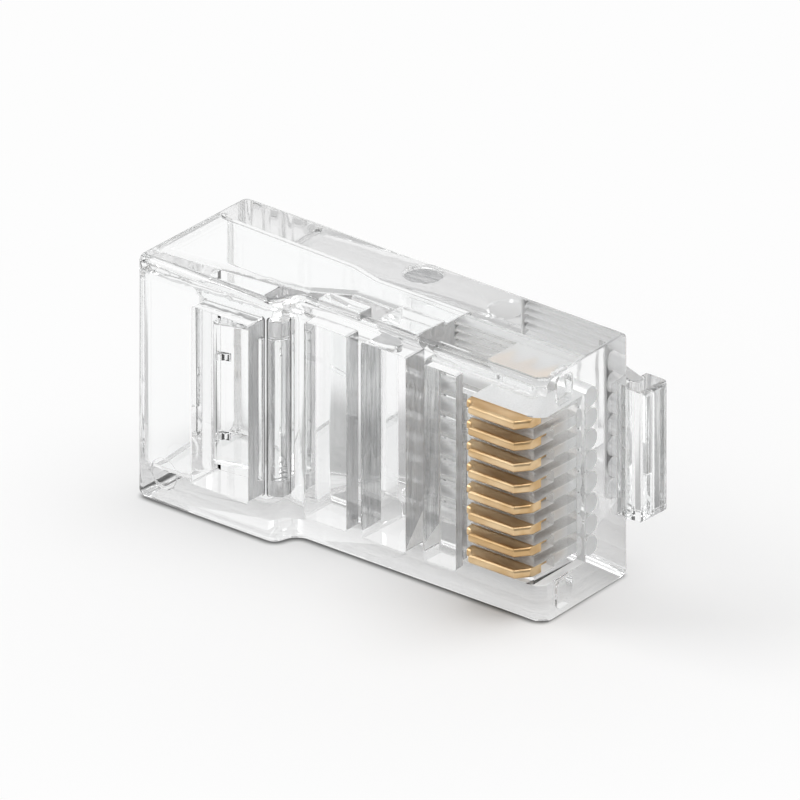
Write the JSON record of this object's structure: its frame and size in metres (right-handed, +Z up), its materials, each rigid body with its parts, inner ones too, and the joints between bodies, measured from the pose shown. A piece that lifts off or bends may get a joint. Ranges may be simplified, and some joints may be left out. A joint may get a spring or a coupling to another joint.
{
  "type": "rj45 modular plug",
  "caption": "Clear modular network plug before crimping, with gold contact blades, a hinged strain relief bar and a sprung latch.",
  "frame": {"origin": "centre of the overall box, on the surface that the plug lies on", "axes": "+X from the cable entry to the nose, the way the plug is pushed in; +Y from the contact side to the latch side; +Z up across the width"},
  "size_m": [0.0222, 0.0114, 0.0117],
  "materials": {
    "clear_plastic": "polished clear polycarbonate",
    "gold_plating": "satin gold plating on bronze"
  },
  "bodies": {
    "plug_body": {"housing": "clear_plastic"},
    "latch": {"latch_tab": "clear_plastic"},
    "relief_bar": {"strain_relief_bar": "clear_plastic"},
    "blade_1": {"contact_1": "gold_plating"},
    "blade_2": {"contact_2": "gold_plating"},
    "blade_3": {"contact_3": "gold_plating"},
    "blade_4": {"contact_4": "gold_plating"},
    "blade_5": {"contact_5": "gold_plating"},
    "blade_6": {"contact_6": "gold_plating"},
    "blade_7": {"contact_7": "gold_plating"},
    "blade_8": {"contact_8": "gold_plating"}
  },
  "joints": [
    {"name": "latch_press", "type": "hinge", "parent": "plug_body", "child": "latch", "pos_m": [0.00985, 0.00274, 0.00584], "axis": [0, 0, 1], "range_deg": [0, 12], "stiffness_Nm_per_rad": 0.05},
    {"name": "strain_relief_fold", "type": "hinge", "parent": "plug_body", "child": "relief_bar", "pos_m": [-0.00491, -0.00399, 0.00584], "axis": [0, 0, -1], "range_deg": [0, 35]},
    {"name": "contact_1_crimp", "type": "slide", "parent": "plug_body", "child": "blade_1", "axis": [0, 1, 0], "range_m": [0, 0.00075]},
    {"name": "contact_2_crimp", "type": "slide", "parent": "plug_body", "child": "blade_2", "axis": [0, 1, 0], "range_m": [0, 0.00075]},
    {"name": "contact_3_crimp", "type": "slide", "parent": "plug_body", "child": "blade_3", "axis": [0, 1, 0], "range_m": [0, 0.00075]},
    {"name": "contact_4_crimp", "type": "slide", "parent": "plug_body", "child": "blade_4", "axis": [0, 1, 0], "range_m": [0, 0.00075]},
    {"name": "contact_5_crimp", "type": "slide", "parent": "plug_body", "child": "blade_5", "axis": [0, 1, 0], "range_m": [0, 0.00075]},
    {"name": "contact_6_crimp", "type": "slide", "parent": "plug_body", "child": "blade_6", "axis": [0, 1, 0], "range_m": [0, 0.00075]},
    {"name": "contact_7_crimp", "type": "slide", "parent": "plug_body", "child": "blade_7", "axis": [0, 1, 0], "range_m": [0, 0.00075]},
    {"name": "contact_8_crimp", "type": "slide", "parent": "plug_body", "child": "blade_8", "axis": [0, 1, 0], "range_m": [0, 0.00075]}
  ]
}
